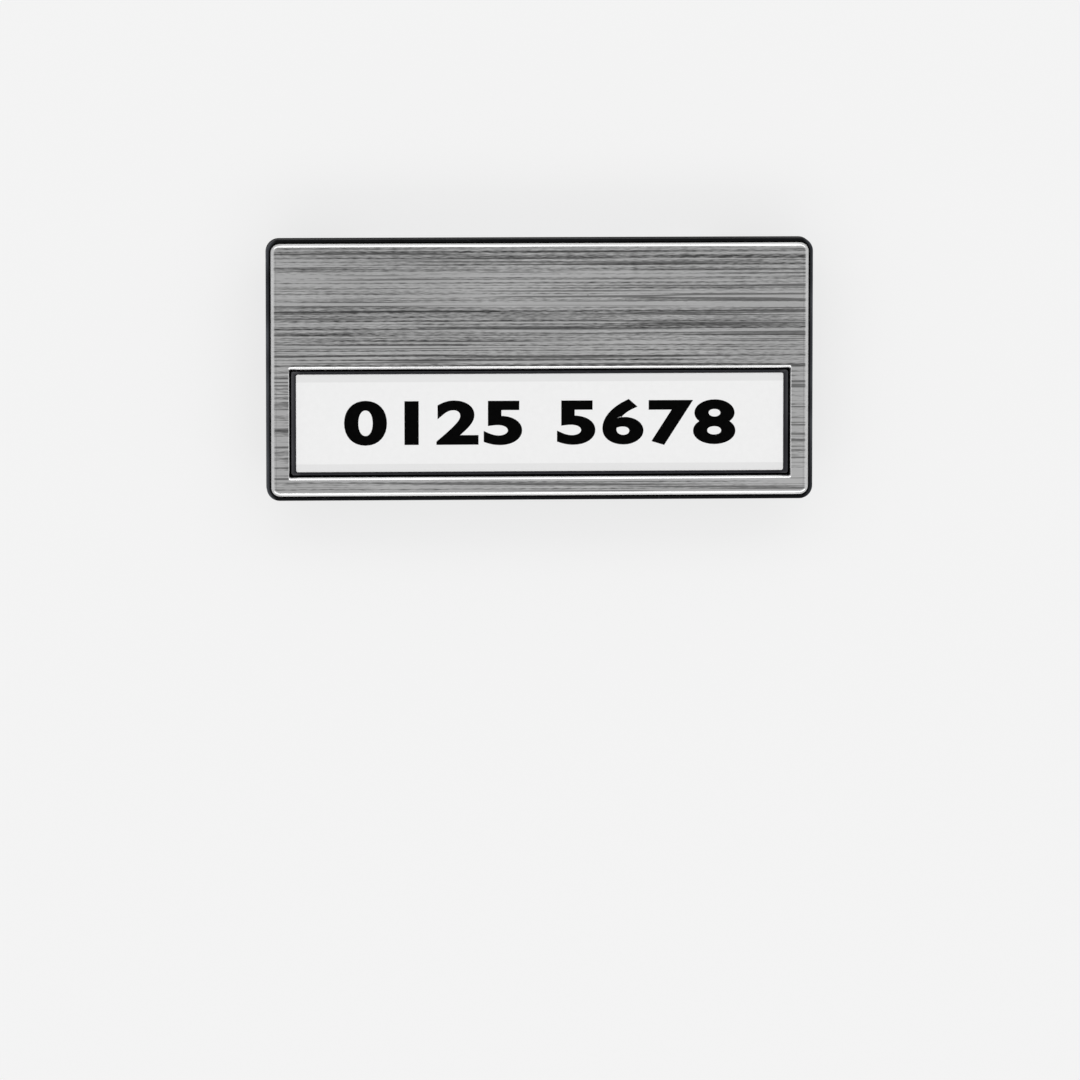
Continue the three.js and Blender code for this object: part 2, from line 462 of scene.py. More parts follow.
# %% [markdown]
# The bar's cover is pressed from sheet. Over each magnet the press has pushed out a round disc, and
# between them two low ribs stiffen the sheet. Pressed steel has no sharp corner, so the wall of a disc
# runs from the flat in a soft S: a filled circle is extruded in small steps and resized at each.

# %% Cover: cup of sheet steel
cover_turn = 0.95
cover_middle = (cover_low + cover_high) / 2
sheet = 0.6 * mm
cover_round = 0.4 * mm
brim_round = 0.1 * mm
disc_raise = 0.3 * mm
face_level = cover_low.z + disc_raise
disc_offset = 15.55 * mm
disc_root = 5.35 * mm
disc_crest = 4.4 * mm

cover = centred_block("magnet_bar_cover", face_level, cover_high.z)
round_upright(cover, bar_corner, segments=14)
round_level(cover, face_level, cover_round, segments=7)
sink_top(cover, cover_high.z, sheet, cover_high.z - face_level - sheet)
round_level(cover, cover_high.z, brim_round, segments=2)


# %% Cover: raised discs
disc_steps = 9
disc_overlap = 0.15 * mm
disc_foot = 0.004 * mm


def smooth_step(share):
    return share * share * (3 - 2 * share)


def pressed_disc(side):
    start = face_level + disc_overlap
    spot = (side * disc_offset, 0, start)
    bpy.ops.object.select_all(action="DESELECT")
    bpy.ops.mesh.primitive_circle_add(vertices=80, radius=disc_root, fill_type="NGON", location=spot)
    disc = bpy.context.active_object
    disc.name = "disc"
    bpy.ops.object.transform_apply(location=True, rotation=True, scale=True)
    levels = [face_level + disc_foot]
    radii = [disc_root]
    for step in range(1, disc_steps + 1):
        share = step / disc_steps
        levels.append(face_level - disc_raise * smooth_step(share))
        radii.append(disc_root + (disc_crest - disc_root) * share)
    edit_only(disc, "FACE")
    bpy.ops.mesh.select_all(action="SELECT")
    last_level = start
    last_radius = disc_root
    for level, radius in zip(levels, radii):
        bpy.ops.mesh.extrude_region_move(TRANSFORM_OT_translate={"value": (0, 0, level - last_level)})
        ratio = radius / last_radius
        bpy.ops.transform.resize(value=(ratio, ratio, 1), center_override=(side * disc_offset, 0, level))
        last_level = level
        last_radius = radius
    bpy.ops.mesh.select_all(action="SELECT")
    bpy.ops.mesh.normals_make_consistent(inside=False)
    leave_edit()
    return disc


for side in (-1, 1):
    combine(cover, pressed_disc(side), "UNION")

# %% Cover: ribs, and a seat inside for each magnet
rib_length = 19 * mm
rib_width = 1.5 * mm
rib_raise = 0.12 * mm
rib_offset = 2.2 * mm
rib_overlap = 0.2 * mm
rib_corner = rib_width / 2 - 0.02 * mm
rib_round = rib_raise * 0.9
seat_radius = 4.5 * mm
seat_depth = 2 * mm

for side in (-1, 1):
    middle_y = side * rib_offset
    rib = add_block(
        "rib",
        (-rib_length / 2, middle_y - rib_width / 2, face_level - rib_raise),
        (rib_length / 2, middle_y + rib_width / 2, face_level + rib_overlap),
    )
    round_upright(rib, rib_corner, segments=9)
    round_level(rib, face_level - rib_raise, rib_round, segments=4)
    combine(cover, rib, "UNION")

for side in (-1, 1):
    bpy.ops.object.select_all(action="DESELECT")
    bpy.ops.mesh.primitive_cylinder_add(
        vertices=64,
        radius=seat_radius,
        depth=seat_depth,
        location=(side * disc_offset, 0, face_level + disc_raise + seat_depth / 2),
    )
    seat = bpy.context.active_object
    bpy.ops.object.transform_apply(location=True, rotation=True, scale=True)
    combine(cover, seat, "DIFFERENCE")
set_in_place(cover, cover_middle, cover_turn)
finish_piece(cover, "magnet_bar", "zinc_steel", "magnet_cover")

# %% Magnets
magnet_radius = 4.4 * mm
magnet_round = 0.2 * mm
magnets = []

for side, node in ((-1, "magnet_left"), (1, "magnet_right")):
    bpy.ops.object.select_all(action="DESELECT")
    bpy.ops.mesh.primitive_cylinder_add(
        vertices=64,
        radius=magnet_radius,
        depth=magnet_high.z - magnet_low.z,
        location=(side * disc_offset, 0, (magnet_low.z + magnet_high.z) / 2),
    )
    magnet = bpy.context.active_object
    magnet.name = node.replace("magnet", "magnet_disc")
    bpy.ops.object.transform_apply(location=True, rotation=True, scale=True)
    round_level(magnet, magnet_low.z, magnet_round, segments=4)
    round_level(magnet, magnet_high.z, magnet_round, segments=4)
    set_in_place(magnet, cover_middle, cover_turn)
    finish_piece(magnet, "magnet_bar", "magnet_nickel", node)
    magnets.append(magnet)

# %% [markdown]
# ## Nodes for the finishes
# A finish is built from nodes. A few small helpers keep that short. One adds a node with its settings and
# its inputs, which are numbers or sockets of other nodes. Others do one step of arithmetic, stretch a range
# of values to another, make a grey of one number, and mix two colours by a share. The last one starts a
# node group with named sockets.


# %% Node helpers
def add_node(tree, kind, inputs=None, **settings):
    node = tree.nodes.new("ShaderNode" + kind)
    for name, value in settings.items():
        setattr(node, name, value)
    for key, value in (inputs or {}).items():
        if isinstance(value, bpy.types.NodeSocket):
            tree.links.new(value, node.inputs[key])
        else:
            node.inputs[key].default_value = value
    return node


def work_out(tree, operation, first, second=0.0, clamp=False):
    return add_node(tree, "Math", {0: first, 1: second}, operation=operation, use_clamp=clamp).outputs[0]


def spread(tree, value, low, high, to_low=0.0, to_high=1.0):
    limits = {"Value": value, "From Min": low, "From Max": high, "To Min": to_low, "To Max": to_high}
    return add_node(tree, "MapRange", limits).outputs[0]


def grey(level):
    return (level, level, level)


def mix_colours(tree, share, first, second):
    node = add_node(tree, "Mix", data_type="RGBA")
    for socket, value in ((node.inputs[0], share), (node.inputs[6], first), (node.inputs[7], second)):
        if isinstance(value, bpy.types.NodeSocket):
            tree.links.new(value, socket)
        elif socket == node.inputs[0]:
            socket.default_value = value
        else:
            socket.default_value = (*value, 1)
    return node.outputs[2]


def start_group(name, inputs, outputs):
    tree = bpy.data.node_groups.new(name, "ShaderNodeTree")
    tree.interface.new_socket("Vector", in_out="INPUT", socket_type="NodeSocketVector")
    for label, value in inputs.items():
        socket = tree.interface.new_socket(label, in_out="INPUT", socket_type="NodeSocketFloat")
        socket.default_value = value
    for label in outputs:
        tree.interface.new_socket(label, in_out="OUTPUT", socket_type="NodeSocketFloat")
    entry = tree.nodes.new("NodeGroupInput")
    leave = tree.nodes.new("NodeGroupOutput")
    return tree, entry.outputs, leave.inputs


# %% [markdown]
# ## Brushed lines
# A brushed face has been drawn along an abrasive belt. Some of the lines it leaves run from end to end,
# others are short, and between them lies a fine grain. Noise that is stretched along X gives all three, each
# with its own length. Now and then a grit digs in, which is a rare dark gouge, so of one more noise only the
# extremes are kept.


# %% Group: brushed lines
def stretched_noise(tree, place, per_metre, length_ratio, seed, detail, roughness):
    along = work_out(tree, "DIVIDE", per_metre, length_ratio)
    scales = add_node(tree, "CombineXYZ", {"X": along, "Y": per_metre, "Z": per_metre})
    drawn = add_node(tree, "VectorMath", {0: place, 1: scales.outputs[0]}, operation="MULTIPLY")
    noise = add_node(
        tree,
        "TexNoise",
        {"Vector": drawn.outputs[0], "W": seed, "Scale": 1.0, "Detail": detail, "Roughness": roughness},
        noise_dimensions="4D",
    )
    return noise.outputs["Fac"]


def build_brushed_lines():
    tree, given, result = start_group(
        "brushed lines",
        {"Lines per Metre": 2000.0, "Wander": 0.0001, "Seed": 0.0},
        ("Bands", "Long Lines", "Short Lines", "Grain", "Gouges"),
    )
    bend = add_node(tree, "TexNoise", {"Vector": given["Vector"], "Scale": 45.0, "Detail": 1.0})
    sway = work_out(tree, "SUBTRACT", bend.outputs["Fac"], 0.5)
    lift = add_node(tree, "CombineXYZ", {"Y": work_out(tree, "MULTIPLY", sway, given["Wander"])})
    bent = add_node(tree, "VectorMath", {0: given["Vector"], 1: lift.outputs[0]}, operation="ADD").outputs[0]
    for number, (label, fineness, length_ratio, detail, low, high) in enumerate(
        (
            ("Bands", 0.12, 50.0, 1.0, 0.35, 0.65),
            ("Long Lines", 1.0, 450.0, 1.0, 0.35, 0.65),
            ("Short Lines", 1.3, 80.0, 1.0, 0.35, 0.65),
            ("Grain", 2.3, 9.0, 1.0, 0.35, 0.65),
            ("Gouges", 1.1, 110.0, 0.0, 0.58, 0.66),
        )
    ):
        per_metre = work_out(tree, "MULTIPLY", given["Lines per Metre"], fineness)
        seed = work_out(tree, "ADD", given["Seed"], 7.3 * number)
        noise = stretched_noise(tree, bent, per_metre, length_ratio, seed, detail, 0.6)
        tree.links.new(spread(tree, noise, low, high), result[label])
    return tree


brushed_lines = build_brushed_lines()
print("group", brushed_lines.name)

# %% [markdown]
# ## Handling marks
# Glossy plastic and plated steel that have been handled carry hairline scratches in all directions and a
# few specks of dust. Three layers of narrow noise, each turned another way, give the scratches. The specks
# are the cores of a few Voronoi cells.


# %% Group: handling marks
def build_handling_marks():
    tree, given, result = start_group(
        "handling marks",
        {"Scratch Length": 0.004, "Speck Spacing": 0.0012, "Seed": 0.0},
        ("Scratches", "Specks"),
    )
    scratches = None
    for number, turn in enumerate((24, 78, 139)):
        turned = add_node(
            tree,
            "VectorRotate",
            {"Vector": given["Vector"], "Angle": math.radians(turn)},
            rotation_type="Z_AXIS",
        )
        across = work_out(tree, "DIVIDE", 30.0, given["Scratch Length"])
        along = work_out(tree, "DIVIDE", 1.0, given["Scratch Length"])
        stretch = add_node(tree, "CombineXYZ", {"X": along, "Y": across, "Z": across})
        sides = {0: turned.outputs[0], 1: stretch.outputs[0]}
        narrow = add_node(tree, "VectorMath", sides, operation="MULTIPLY")
        seed = work_out(tree, "ADD", given["Seed"], 3.1 * number)
        line = add_node(
            tree,
            "TexNoise",
            {"Vector": narrow.outputs[0], "W": seed, "Scale": 1.0, "Detail": 0.0},
            noise_dimensions="4D",
        )
        layer = spread(tree, line.outputs["Fac"], 0.79, 0.85)
        scratches = layer if scratches is None else work_out(tree, "MAXIMUM", scratches, layer)
    tree.links.new(scratches, result["Scratches"])

    cells = add_node(
        tree,
        "TexVoronoi",
        {
            "Vector": given["Vector"],
            "W": given["Seed"],
            "Scale": work_out(tree, "DIVIDE", 1.0, given["Speck Spacing"]),
        },
        voronoi_dimensions="4D",
    )
    chance = add_node(tree, "SeparateColor", {"Color": cells.outputs["Color"]}).outputs[0]
    core = spread(tree, cells.outputs["Distance"], 0.08, 0.13, 1.0, 0.0)
    tree.links.new(work_out(tree, "MULTIPLY", core, spread(tree, chance, 0.55, 0.6)), result["Specks"])
    return tree


handling_marks = build_handling_marks()
print("group", handling_marks.name)

# %% [markdown]
# ## Soft patches, and the band along an edge
# Plating, paper and plastic are never quite even, and a soft noise of two sizes breaks up their colour and
# gloss. Edges are where fingers rub, so a second group measures how far a point is from the outline of a
# rounded rectangle and gives a band along it.


# %% Group: soft patches
def build_soft_patches():
    tree, given, result = start_group(
        "soft patches", {"Patch Size": 0.006, "Seed": 0.0}, ("Broad", "Mottle")
    )
    scale = work_out(tree, "DIVIDE", 1.0, given["Patch Size"])
    for label, factor, detail, low, high in (
        ("Broad", 1.0, 1.0, 0.35, 0.65),
        ("Mottle", 6.0, 4.0, 0.32, 0.68),
    ):
        noise = add_node(
            tree,
            "TexNoise",
            {
                "Vector": given["Vector"],
                "W": given["Seed"],
                "Scale": work_out(tree, "MULTIPLY", scale, factor),
                "Detail": detail,
                "Roughness": 0.6,
            },
            noise_dimensions="4D",
        )
        tree.links.new(spread(tree, noise.outputs["Fac"], low, high), result[label])
    return tree


soft_patches = build_soft_patches()


# %% Group: band along the outline of a rounded rectangle
def build_edge_band():
    tree, given, result = start_group(
        "edge band",
        {"Half Width": 0.03, "Half Height": 0.015, "Corner": 0.001, "Band": 0.001},
        ("Edge",),
    )
    place = add_node(tree, "SeparateXYZ", {"Vector": given["Vector"]})
    beyond = []
    for axis, half in (("X", "Half Width"), ("Y", "Half Height")):
        core = work_out(tree, "SUBTRACT", given[half], given["Corner"])
        beyond.append(work_out(tree, "SUBTRACT", work_out(tree, "ABSOLUTE", place.outputs[axis]), core))
    outside = [work_out(tree, "MAXIMUM", value, 0.0) for value in beyond]
    squares = [work_out(tree, "POWER", value, 2.0) for value in outside]
    corner_reach = work_out(tree, "SQRT", work_out(tree, "ADD", squares[0], squares[1]))
    inner_reach = work_out(tree, "MINIMUM", work_out(tree, "MAXIMUM", beyond[0], beyond[1]), 0.0)
    distance = work_out(tree, "SUBTRACT", work_out(tree, "ADD", corner_reach, inner_reach), given["Corner"])
    share = work_out(tree, "ADD", 1.0, work_out(tree, "DIVIDE", distance, given["Band"]), clamp=True)
    tree.links.new(share, result["Edge"])
    return tree


edge_band = build_edge_band()
print("groups", [group.name for group in bpy.data.node_groups])


# %% Start a material, and place a group in it
def start_material(name):
    material = bpy.data.materials.new(name)
    material.use_nodes = True
    tree = material.node_tree
    tree.nodes.clear()
    shader = add_node(tree, "BsdfPrincipled")
    add_node(tree, "OutputMaterial", {"Surface": shader.outputs[0]})
    place = add_node(tree, "TexCoord").outputs["Object"]
    return material, tree, shader, place


def use_group(tree, group, place, values):
    node = tree.nodes.new("ShaderNodeGroup")
    node.node_tree = group
    tree.links.new(place, node.inputs["Vector"])
    for label, value in values.items():
        node.inputs[label].default_value = value
    return node.outputs


def centre_on(tree, place, middle, turn=0.0):
    shifted = add_node(
        tree,
        "VectorMath",
        {0: place, 1: (middle.x, middle.y, 0)},
        operation="SUBTRACT",
    )
    return add_node(
        tree,
        "VectorRotate",
        {"Vector": shifted.outputs[0], "Angle": math.radians(-turn)},
        rotation_type="Z_AXIS",
    ).outputs[0]


def feed(tree, value, socket):
    tree.links.new(value, socket)


def wear_with(piece_list, material):
    for piece in piece_list:
        piece.data.materials.clear()
        piece.data.materials.append(material)
    print(material.name, "on", [piece.name for piece in piece_list])


# %% [markdown]
# ## Finish of the face plate
# Brushed aluminium is mid grey with lines along its length, and darker streaks where the belt dug in. Four
# sorts of lines add up to one relief, which gives both the tone and the bump. Round the window and towards
# the two ends a little is added to the tone, a painted reflection where the lit sheet looks a shade lighter,
# and broad soft patches darken it, partly uneven tone and partly painted shade. What lies below the flat of
# the sheet is a rolled edge. It is smoother, and its bright tone is a painted highlight, weaker at the ends.

# %% Material: brushed plate
brushed_metal, tree, shader, place = start_material("brushed metal")
lines = use_group(tree, brushed_lines, place, {"Lines per Metre": 3900.0, "Wander": 0.0001})
patches = use_group(tree, soft_patches, place, {"Patch Size": 0.016, "Seed": 4.0})
marks = use_group(tree, handling_marks, place, {"Speck Spacing": 0.0022, "Seed": 6.0})


def plate_band(width):
    sizes = {"Half Width": plate_high.x, "Half Height": plate_high.y, "Corner": plate_corner, "Band": width}
    return use_group(tree, edge_band, place, sizes)["Edge"]


def add_up(tree, shares):
    total = 0.0
    for value, share in shares:
        total = work_out(tree, "ADD", total, work_out(tree, "MULTIPLY", value, share))
    return total


# %% Brushed plate: tone of the flat sheet
relief = add_up(
    tree,
    (
        (lines["Bands"], 0.2),
        (lines["Long Lines"], 0.42),
        (lines["Short Lines"], 0.16),
        (lines["Grain"], 0.22),
    ),
)
spot = add_node(tree, "SeparateXYZ", {"Vector": place}).outputs
from_middle = work_out(tree, "ABSOLUTE", spot["X"])
beside = spread(tree, from_middle, window_high.x - 1 * mm, window_high.x + 1 * mm)
below = spread(tree, spot["Y"], window_low.y + 1 * mm, window_low.y - 0.5 * mm)
under_top = spread(tree, spot["Y"], window_high.y + 1 * mm, window_high.y - 1 * mm)
# Round the window and towards the ends the tone is raised a little, a painted reflection of the lit sheet.
painted_sheen_round_window = work_out(tree, "MULTIPLY", work_out(tree, "MAXIMUM", beside, below), under_top)
painted_sheen_near_ends = spread(tree, from_middle, plate_high.x - 8 * mm, plate_high.x)
lighter = add_up(tree, ((relief, 1.0), (painted_sheen_round_window, 0.12), (painted_sheen_near_ends, 0.05)))
brushed = mix_colours(tree, spread(tree, lighter, 0.22, 0.62), grey(0.06), grey(0.81))
# Broad soft patches darken the tone, partly uneven tone and partly painted shade.
broad_tone_and_painted_shade = spread(tree, patches["Broad"], 0.0, 1.0, 0.0, 0.2)
uneven = mix_colours(tree, broad_tone_and_painted_shade, brushed, grey(0.35))
gouged = mix_colours(tree, work_out(tree, "MULTIPLY", lines["Gouges"], 0.7), uneven, grey(0.09))
nicked = mix_colours(tree, work_out(tree, "MULTIPLY", marks["Specks"], 0.6), gouged, grey(0.1))

# %% Brushed plate: painted dark line at the start of the roll, and the roll's painted highlight
outer_band = plate_band(1 * mm)
# A dark line is painted where the flat turns into the roll, a painted dark reflection.
painted_dark_line = work_out(
    tree,
    "MINIMUM",
    spread(tree, outer_band, 0.24, 0.32),
    spread(tree, outer_band, 0.32, 0.42, 1.0, 0.0),
)
with_painted_dark_line = mix_colours(tree, work_out(tree, "MULTIPLY", painted_dark_line, 0.3), nicked, grey(0.2))
on_roll = spread(tree, spot["Z"], plate_high.z - 0.003 * mm, plate_high.z - 0.04 * mm)
# The roll's bright tone is a painted highlight, weaker at the two ends, which face away from the lights.
end_roll = spread(tree, from_middle, plate_high.x - 1.6 * mm, plate_high.x - 1 * mm)
painted_roll_highlight = mix_colours(tree, end_roll, grey(0.96), grey(0.72))
brighter_edge = work_out(tree, "MULTIPLY", on_roll, 0.85)
feed(tree, mix_colours(tree, brighter_edge, with_painted_dark_line, painted_roll_highlight), shader.inputs["Base Color"])

# %% Brushed plate: gloss and bump
flat_rough = spread(tree, relief, 0.0, 1.0, 0.42, 0.28)
smoother = work_out(tree, "MULTIPLY", on_roll, 0.12)
feed(tree, work_out(tree, "SUBTRACT", flat_rough, smoother), shader.inputs["Roughness"])
depth = work_out(tree, "SUBTRACT", relief, lines["Gouges"])
bump = add_node(tree, "Bump", {"Height": depth, "Strength": 0.5, "Distance": 0.008 * mm})
feed(tree, bump.outputs[0], shader.inputs["Normal"])
shader.inputs["Metallic"].default_value = 1.0
wear_with([plate], brushed_metal)

# %% [markdown]
# ## Finish of the black plastics
# The case and the push tab are glossy black ABS that has been handled: hairline scratches, specks, and an
# outline that is grey, partly scuffed and partly a painted highlight on the rounded edges. How strong that
# grey is at a point is a product of shares: how near the outline it is, how near an end, how near the back,
# and whether it is off the side walls. The walls are satin, so that they don't mirror the table. The insert
# is glossier; on its lip the same grey gives painted glints, and its bluish grey back is a painted
# reflection.


# %% Material: black plastic
def black_plastic(name, tones, roughness, specular, outline_low, outline_high, corner, seed):
    colour, scuff_and_painted_highlight, back = tones
    material, tree, shader, place = start_material(name)
    marks = use_group(
        tree,
        handling_marks,
        place,
        {"Scratch Length": 0.004, "Speck Spacing": 0.0016, "Seed": seed},
    )
    patches = use_group(tree, soft_patches, place, {"Patch Size": 0.007, "Seed": seed})
    middle = (outline_low + outline_high) / 2
    half = (outline_high - outline_low) / 2
    centred = centre_on(tree, place, middle)
    spot = add_node(tree, "SeparateXYZ", {"Vector": centred}).outputs
    outline = use_group(
        tree,
        edge_band,
        centred,
        {"Half Width": half.x, "Half Height": half.y, "Corner": corner, "Band": 0.5 * mm},
    )

    uneven = spread(tree, patches["Mottle"], 0.0, 1.0, 0.0, 0.25)
    surface = mix_colours(tree, uneven, colour, tuple(3 * part for part in colour))
    # Towards the back the tone turns to the third tone; on the insert that bluish grey is a painted
    # reflection.
    at_back = spread(tree, spot["Z"], outline_low.z + 0.1 * mm, outline_low.z + 0.02 * mm)
    backed = mix_colours(tree, at_back, surface, back)
    worn_area = spread(tree, patches["Broad"], 0.45, 0.8, 0.0, 0.3)
    scratches = work_out(tree, "MULTIPLY", marks["Scratches"], worn_area)
    scratched = mix_colours(tree, scratches, backed, (0.09, 0.09, 0.1))
    from_middle = work_out(tree, "ABSOLUTE", spot["X"])
    # Stronger at the two ends and near the back, where the grey is a painted highlight as well as scuffing.
    at_ends = spread(tree, from_middle, half.x - 1.2 * mm, half.x - 0.5 * mm, 0.05, 1.0)
    patchy = spread(tree, patches["Broad"], 0.0, 1.0, 0.3, 1.0)
    near_back = spread(tree, spot["Z"], outline_low.z + 0.5 * mm, outline_low.z + 1.2 * mm, 1.0, 0.35)
    below_top = spread(tree, spot["Z"], outline_high.z - 0.3 * mm, outline_high.z - 0.18 * mm, 1.0, 0.0)
    above_back = spread(tree, spot["Z"], outline_low.z + 0.2 * mm, outline_low.z + 0.5 * mm)
    wall = work_out(tree, "MULTIPLY", below_top, above_back)
    off_wall = work_out(tree, "SUBTRACT", 1.0, work_out(tree, "MULTIPLY", wall, 0.85))
    where = work_out(tree, "MULTIPLY", work_out(tree, "MULTIPLY", at_ends, patchy), near_back)
    brighter_edge = work_out(tree, "MULTIPLY", work_out(tree, "MULTIPLY", outline["Edge"], where), off_wall)
    # The outline's grey is partly scuffing and partly a painted highlight on the edges.
    edged = mix_colours(tree, brighter_edge, scratched, scuff_and_painted_highlight)
    specks = work_out(tree, "MULTIPLY", marks["Specks"], 0.4)
    feed(tree, mix_colours(tree, specks, edged, grey(0.3)), shader.inputs["Base Color"])

    gloss = spread(tree, patches["Mottle"], 0.0, 1.0, roughness * 0.85, roughness * 1.2)
    scratch_rough = work_out(tree, "ADD", gloss, work_out(tree, "MULTIPLY", scratches, 0.3))
    satin_wall = work_out(tree, "MULTIPLY", wall, 0.5)
    feed(tree, work_out(tree, "ADD", scratch_rough, satin_wall), shader.inputs["Roughness"])
    dents = work_out(tree, "MULTIPLY", patches["Mottle"], 0.3)
    height = work_out(tree, "SUBTRACT", dents, scratches)
    bump = add_node(tree, "Bump", {"Height": height, "Strength": 0.3, "Distance": 0.003 * mm})
    feed(tree, bump.outputs[0], shader.inputs["Normal"])
    shader.inputs["Specular IOR Level"].default_value = specular
    return material


# The case's second tone is the grey of its outline: scuffing and painted highlight.
case_black = black_plastic(
    "glossy black case",
    tones=((0.0025, 0.0025, 0.003), (0.3, 0.32, 0.36), (0.003, 0.003, 0.0035)),
    roughness=0.2,
    specular=0.06,
    outline_low=case_low,
    outline_high=case_high,
    corner=case_corner,
    seed=1.0,
)
# On the insert the second tone gives painted glints on the lip, and the bluish grey back is a painted
# reflection on black plastic.
insert_black = black_plastic(
    "glossy insert",
    tones=((0.008, 0.008, 0.011), (0.2, 0.2, 0.21), (0.2, 0.212, 0.33)),
    roughness=0.14,
    specular=0.3,
    outline_low=tray_low,
    outline_high=tray_high,
    corner=tray_corner,
    seed=5.0,
)
wear_with([case, push_pad], case_black)
wear_with([tray], insert_black)

# %% [markdown]
# ## Finish of the card and its print
# The card is smooth white paper with a faint fibre. Along its two long edges runs a slightly greyer band
# a millimetre wide.

# %% Material: white card
white_card, tree, shader, place = start_material("white card")
patches = use_group(tree, soft_patches, place, {"Patch Size": 0.004, "Seed": 9.0})
card_half = (card_high - card_low) / 2
past_the_ends = 1.0
bands = use_group(
    tree,
    edge_band,
    centre_on(tree, place, window_middle),
    {"Half Width": past_the_ends, "Half Height": card_half.y, "Corner": 0.0, "Band": 1.0 * mm},
)
band = spread(tree, bands["Edge"], 0.0, 0.08, 0.0, 0.6)
paper = mix_colours(tree, patches["Mottle"], grey(0.935), grey(0.91))
feed(tree, mix_colours(tree, band, paper, grey(0.77)), shader.inputs["Base Color"])
feed(tree, spread(tree, patches["Mottle"], 0, 1, 0.42, 0.55), shader.inputs["Roughness"])
height = work_out(tree, "ADD", work_out(tree, "MULTIPLY", patches["Mottle"], 0.3), band)
bump = add_node(tree, "Bump", {"Height": height, "Strength": 0.3, "Distance": 0.004 * mm})
feed(tree, bump.outputs[0], shader.inputs["Normal"])
wear_with([card], white_card)

# %% Material: ink
black_ink, tree, shader, place = start_material("black ink")
patches = use_group(tree, soft_patches, place, {"Patch Size": 0.003, "Seed": 2.0})
ink = mix_colours(tree, patches["Mottle"], grey(0.0008), grey(0.002))
feed(tree, ink, shader.inputs["Base Color"])
feed(tree, spread(tree, patches["Mottle"], 0, 1, 0.5, 0.62), shader.inputs["Roughness"])
shader.inputs["Specular IOR Level"].default_value = 0.02
wear_with([numbers], black_ink)

# %% [markdown]
# ## Finish of the steel parts
# The cover is zinc plated: bluish grey, mottled, with warmer patches and faint draw lines from the press.
# The keeper is plain cold rolled steel, and the magnets are nickel plated.


# %% Material: plated steel
def plated_steel(name, cool, warm, deep, roughness, middle, turn, seed):
    material, tree, shader, place = start_material(name)
    centred = centre_on(tree, place, middle, turn)
    crosswise = add_node(
        tree,
        "VectorRotate",
        {"Vector": centred, "Angle": math.radians(90)},
        rotation_type="Z_AXIS",
    ).outputs[0]
    drawing = {"Lines per Metre": 1500.0, "Wander": 0.0002, "Seed": seed}
    lines = use_group(tree, brushed_lines, crosswise, drawing)
    patches = use_group(tree, soft_patches, centred, {"Patch Size": 0.006, "Seed": seed})
    marks = use_group(
        tree,
        handling_marks,
        centred,
        {"Scratch Length": 0.0035, "Speck Spacing": 0.001, "Seed": seed},
    )
    brighter_edge = use_group(
        tree,
        edge_band,
        centred,
        {"Half Width": bar_length / 2, "Half Height": bar_width / 2, "Corner": bar_corner, "Band": 0.5 * mm},
    )
    tint = mix_colours(tree, patches["Broad"], cool, warm)
    mottled = mix_colours(tree, spread(tree, patches["Mottle"], 0, 1, 0, 0.45), tint, deep)
    drawn = mix_colours(tree, work_out(tree, "MULTIPLY", lines["Long Lines"], 0.25), mottled, deep)
    marked = mix_colours(tree, work_out(tree, "MULTIPLY", marks["Scratches"], 0.25), drawn, (0.8, 0.8, 0.82))
    dusty = mix_colours(tree, work_out(tree, "MULTIPLY", marks["Specks"], 0.6), marked, (0.12, 0.12, 0.13))
    bright = mix_colours(tree, work_out(tree, "MULTIPLY", brighter_edge["Edge"], 0.5), dusty, (0.75, 0.76, 0.78))
    feed(tree, bright, shader.inputs["Base Color"])
    rough = spread(tree, patches["Mottle"], 0.0, 1.0, roughness * 0.8, roughness * 1.25)
    feed(tree, rough, shader.inputs["Roughness"])
    height = work_out(tree, "ADD", work_out(tree, "MULTIPLY", lines["Short Lines"], 0.5), patches["Mottle"])
    bump = add_node(tree, "Bump", {"Height": height, "Strength": 0.25, "Distance": 0.004 * mm})
    feed(tree, bump.outputs[0], shader.inputs["Normal"])
    shader.inputs["Metallic"].default_value = 1.0
    return material


zinc = plated_steel(
    "zinc plated steel",
    cool=(0.46, 0.51, 0.57),
    warm=(0.54, 0.53, 0.53),
    deep=(0.28, 0.31, 0.36),
    roughness=0.34,
    middle=cover_middle,
    turn=cover_turn,
    seed=3.0,
)
rolled = plated_steel(
    "cold rolled steel",
    cool=(0.55, 0.56, 0.58),
    warm=(0.58, 0.57, 0.55),
    deep=(0.4, 0.4, 0.42),
    roughness=0.36,
    middle=keeper_middle,
    turn=keeper_turn,
    seed=8.0,
)
nickel = plated_steel(
    "nickel plate",
    cool=(0.66, 0.63, 0.58),
    warm=(0.7, 0.66, 0.6),
    deep=(0.5, 0.47, 0.43),
    roughness=0.2,
    middle=cover_middle,
    turn=cover_turn,
    seed=13.0,
)
wear_with([cover], zinc)
wear_with([keeper], rolled)
wear_with(magnets, nickel)
print("materials", sorted(material.name for material in bpy.data.materials))

# %% [markdown]
# ## Floor and light
# The badge lies on a plain pale table that glows a little, like a light table, so that its shadow is faint.
# The table is clear from below and for reflections, which lets the badge be looked at from behind. Metal
# shows what is around it, so the sky straight above is a quiet grey that the flat plate mirrors. Two long
# soft lights along its sides make its rolled edges shine, and two more below the table do so for the back.

# %% Floor
floor_radius = 12
floor_glow = 0.71

